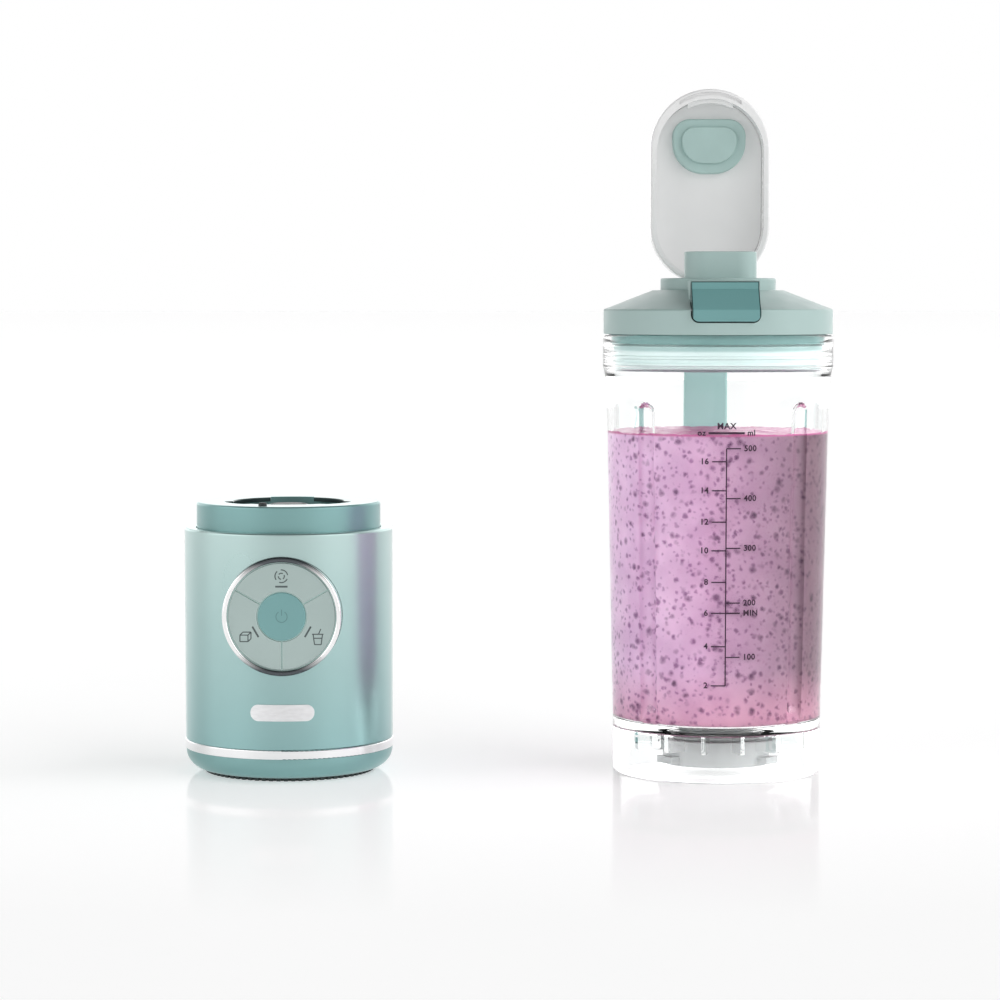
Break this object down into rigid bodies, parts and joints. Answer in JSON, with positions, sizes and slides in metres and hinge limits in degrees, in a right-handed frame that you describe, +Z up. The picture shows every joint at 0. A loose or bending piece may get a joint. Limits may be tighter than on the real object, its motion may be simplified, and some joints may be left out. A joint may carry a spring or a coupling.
{
  "type": "personal blender",
  "caption": "Cordless personal blender in two halves: a motor base with a round key pad, and a clear cup with its blade housing and a drinking lid whose flap is open.",
  "frame": {"origin": "centre of the motor base's foot, on the surface that it stands on", "axes": "+Z up, -Y to the front where the key pad and the latch are, +X towards the cup that stands beside the base"},
  "size_m": [0.2497, 0.1185, 0.265],
  "materials": {
    "teal_enamel": "satin metallic lacquer",
    "teal_plastic": "satin",
    "sage_plastic": "satin",
    "latch_teal": "satin",
    "liner_teal": "satin",
    "seal_teal": "soft matte silicone",
    "chrome": "polished",
    "grey_rubber": "matte",
    "steel": "brushed",
    "battery_can": "heat-shrunk sleeve",
    "board": "solder mask",
    "dark_plastic": "matte",
    "magnet": "sintered",
    "copper": "enamelled wire",
    "key_grey": "satin",
    "button_teal": "satin",
    "light_bar": "clear lens, unlit",
    "clear_plastic": "polished clear",
    "housing_grey": "satin",
    "white_plastic": "satin",
    "panel_grey": "satin"
  },
  "bodies": {
    "motor_base": {"outer_sleeve": "teal_enamel", "locking_collar": "teal_plastic", "chrome_band": "chrome", "foot_cap": "teal_plastic", "foot_pad": "grey_rubber", "base_screws": "steel", "badge": "chrome", "battery_cradle": "dark_plastic", "battery_cells": "battery_can", "main_board": "board", "charge_port": "steel", "port_gasket": "grey_rubber", "motor_mount": "dark_plastic", "motor_can": "steel", "motor_magnets": "magnet", "motor_end_bell": "dark_plastic", "brushes": "magnet", "motor_bearings": "steel", "shaft_seal": "grey_rubber", "dial_bezel": "chrome", "dial_carrier": "dark_plastic", "key_mat": "grey_rubber", "control_board": "board"},
    "motor_rotor": {"motor_shaft": "steel", "rotor_core": "steel", "rotor_winding": "copper", "commutator": "copper", "drive_coupling": "dark_plastic"},
    "interlock": {"interlock_plunger": "dark_plastic"},
    "power_button": {"power_button": "button_teal"},
    "blend_key": {"blend_key": "key_grey", "blend_light": "light_bar"},
    "smoothie_key": {"smoothie_key": "key_grey", "smoothie_light": "light_bar"},
    "crush_key": {"crush_key": "key_grey", "crush_light": "light_bar"},
    "cup": {"cup_body": "clear_plastic", "blade_base": "housing_grey", "floor_gasket": "grey_rubber", "retaining_nut": "dark_plastic", "locking_foot": "housing_grey", "blade_bearings": "steel", "blade_seal": "grey_rubber"},
    "blade": {"blade_shaft": "steel", "lower_blade": "steel", "upper_blade": "steel", "blade_nut": "steel", "driven_coupling": "dark_plastic"},
    "lid_gasket": {"lid_gasket": "seal_teal"},
    "lid": {"lid_shell": "sage_plastic", "lid_liner": "liner_teal", "carry_handle": "teal_plastic", "latch_pin": "steel", "latch_spring": "steel", "flap_pin": "steel"},
    "latch": {"latch_button": "latch_teal"},
    "flap": {"flap_shell": "white_plastic", "flap_panel": "panel_grey", "flap_seal": "seal_teal"}
  },
  "joints": [
    {"name": "rotor_spin", "type": "hinge", "parent": "motor_base", "child": "motor_rotor", "pos_m": [0, 0, 0.06], "axis": [0, 0, 1], "continuous": true},
    {"name": "interlock_press", "type": "slide", "parent": "motor_base", "child": "interlock", "axis": [0, 0, -1], "range_m": [0, 0.0012], "stiffness_N_per_m": 300},
    {"name": "power_press", "type": "slide", "parent": "motor_base", "child": "power_button", "axis": [0, 1, 0], "range_m": [0, 0.0005], "stiffness_N_per_m": 400},
    {"name": "blend_press", "type": "slide", "parent": "motor_base", "child": "blend_key", "axis": [0, 1, 0], "range_m": [0, 0.0005], "stiffness_N_per_m": 400},
    {"name": "smoothie_press", "type": "slide", "parent": "motor_base", "child": "smoothie_key", "axis": [0, 1, 0], "range_m": [0, 0.0005], "stiffness_N_per_m": 400},
    {"name": "crush_press", "type": "slide", "parent": "motor_base", "child": "crush_key", "axis": [0, 1, 0], "range_m": [0, 0.0005], "stiffness_N_per_m": 400},
    {"name": "cup_lift", "type": "slide", "parent": "motor_base", "child": "cup", "axis": [0, 0, 1], "range_m": [0, 0.1]},
    {"name": "blade_spin", "type": "hinge", "parent": "cup", "child": "blade", "pos_m": [0.1653, 0, 0.02], "axis": [0, 0, 1], "continuous": true},
    {"name": "lid_lift", "type": "slide", "parent": "cup", "child": "lid_gasket", "axis": [0, 0, 1], "range_m": [0, 0.06]},
    {"name": "lid_turn", "type": "hinge", "parent": "lid_gasket", "child": "lid", "pos_m": [0.1653, 0, 0.168], "axis": [0, 0, 1], "range_deg": [0, 90]},
    {"name": "flap_hinge", "type": "hinge", "parent": "lid", "child": "flap", "pos_m": [0.1653, 0.0428, 0.1899], "axis": [1, 0, 0], "range_deg": [-20, 90]},
    {"name": "latch_press", "type": "hinge", "parent": "lid", "child": "latch", "pos_m": [0.1653, -0.0389, 0.1776], "axis": [1, 0, 0], "range_deg": [0, 4], "stiffness_Nm_per_rad": 0.2}
  ]
}
